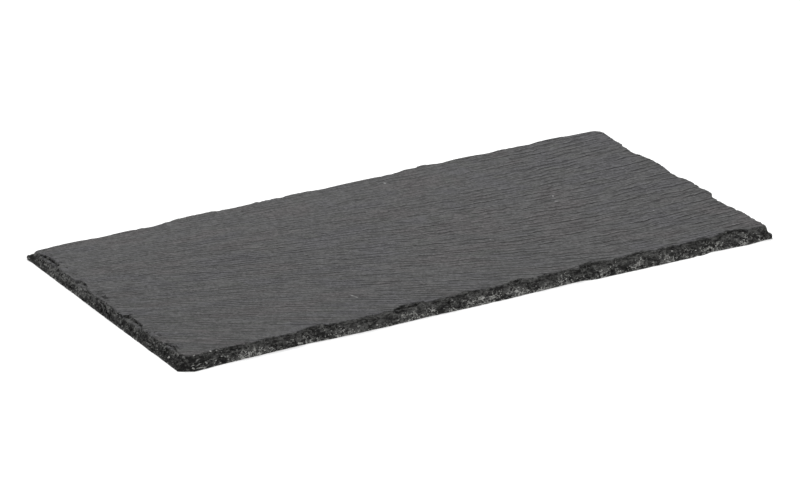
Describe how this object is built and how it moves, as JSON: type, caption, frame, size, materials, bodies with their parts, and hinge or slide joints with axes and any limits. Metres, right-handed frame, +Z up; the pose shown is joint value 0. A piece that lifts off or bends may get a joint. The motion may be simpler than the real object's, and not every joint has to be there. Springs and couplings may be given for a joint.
{
  "type": "slate serving board",
  "caption": "Rectangular serving board of riven natural slate, flat underneath, with low cleavage ridges on top and hand-knapped sloping edges.",
  "frame": {"origin": "middle of the board's outline, on the surface that it lies on", "axes": "+X along the board's length, towards its scalloped short edge; +Y across its width, away from the long edge that the picture shows; +Z up, out of the riven face"},
  "size_m": [0.3, 0.1498, 0.0056],
  "materials": {
    "slate": "matte"
  },
  "bodies": {
    "root": {"slate_board": "slate"}
  },
  "joints": []
}
